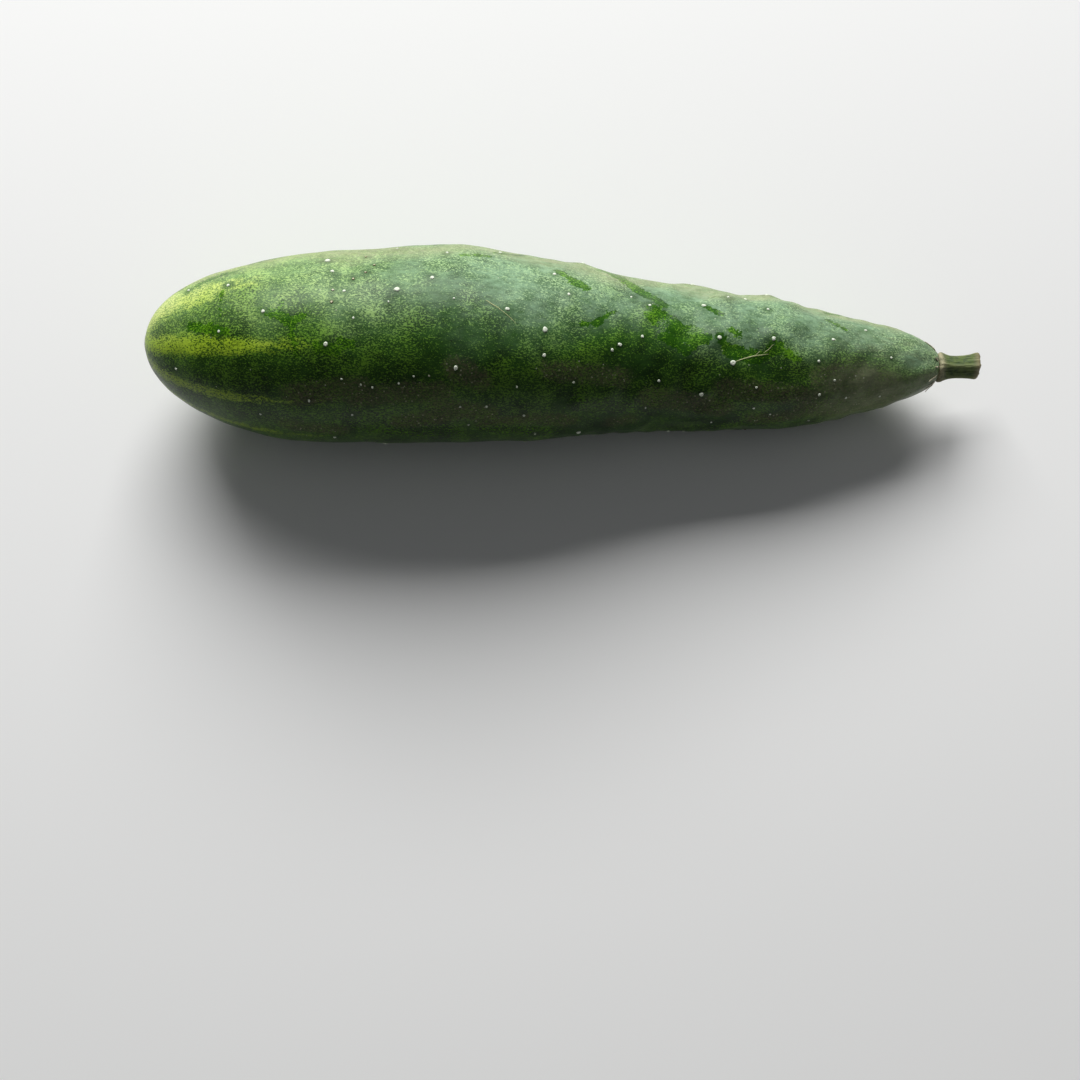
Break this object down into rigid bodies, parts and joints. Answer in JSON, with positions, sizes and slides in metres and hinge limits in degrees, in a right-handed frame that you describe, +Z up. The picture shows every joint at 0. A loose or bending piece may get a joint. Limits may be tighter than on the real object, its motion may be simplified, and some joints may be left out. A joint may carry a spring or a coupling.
{
  "type": "cucumber",
  "caption": "Whole green cucumber lying on its side, with a blunt blossom end and a body that tapers to a short cut stalk; loose fresh produce for a table, crate or shelf.",
  "frame": {"origin": "on the surface that the cucumber lies on, under the middle of its bounding box", "axes": "+X along the fruit from the blossom end to the stalk end, +Z up as it lies, +Y to its left seen from the blossom end"},
  "size_m": [0.234, 0.0558, 0.0541],
  "materials": {
    "rind": "satin",
    "stalk": "matte"
  },
  "bodies": {
    "root": {"fruit": "rind", "stalk": "stalk"}
  },
  "joints": []
}
